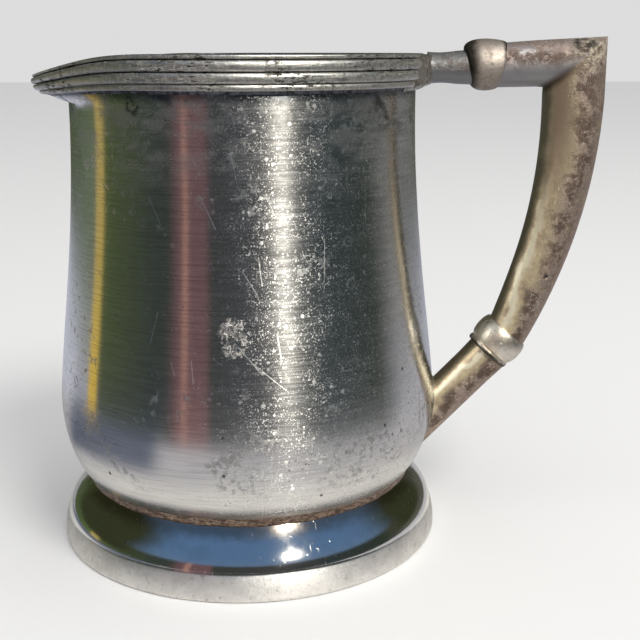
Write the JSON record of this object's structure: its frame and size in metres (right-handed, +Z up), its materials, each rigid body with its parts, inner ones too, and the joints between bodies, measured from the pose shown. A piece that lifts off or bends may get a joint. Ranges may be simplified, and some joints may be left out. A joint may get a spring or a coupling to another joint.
{
  "type": "footed metal pouring jug",
  "caption": "Small open metal jug with a spun body on a spread foot, a reeded rim with a pouring lip, and a cranked handle with two knuckles.",
  "frame": {"origin": "centre of the foot's rest ring, on the body's axis", "axes": "+Z up along the body's axis, +X towards the handle, -X towards the pouring lip"},
  "size_m": [0.1063, 0.0744, 0.0949],
  "materials": {
    "body_silver": "worn polished silver plate with fine circumferential brush lines, scratches and specks of tarnish",
    "rim_silver": "worn silver plate, dark tarnish in the grooves",
    "foot_silver": "worn polished silver plate with fine scratches",
    "handle_warm": "nickel silver with the plate worn off, warm grey-brown tarnish and pale specks",
    "handle_cool": "nickel silver, cool grey with pale specks",
    "knuckle_silver": "worn silver plate over nickel silver",
    "solder_coppery": "rough soft solder, brown and coppery",
    "solder_grey": "rough grey solder",
    "solder_dark": "dark tarnished solder line"
  },
  "bodies": {
    "root": {"body_shell": "body_silver", "rim_moulding": "rim_silver", "rim_solder_line": "solder_dark", "foot_ring": "foot_silver", "foot_solder_seam": "solder_coppery", "upper_handle_solder": "solder_grey", "handle_root": "handle_cool", "upper_knuckle": "knuckle_silver", "upper_arm": "handle_warm", "grip": "handle_warm", "lower_knuckle": "knuckle_silver", "lower_leg": "handle_warm", "lower_handle_solder": "solder_grey"}
  },
  "joints": []
}
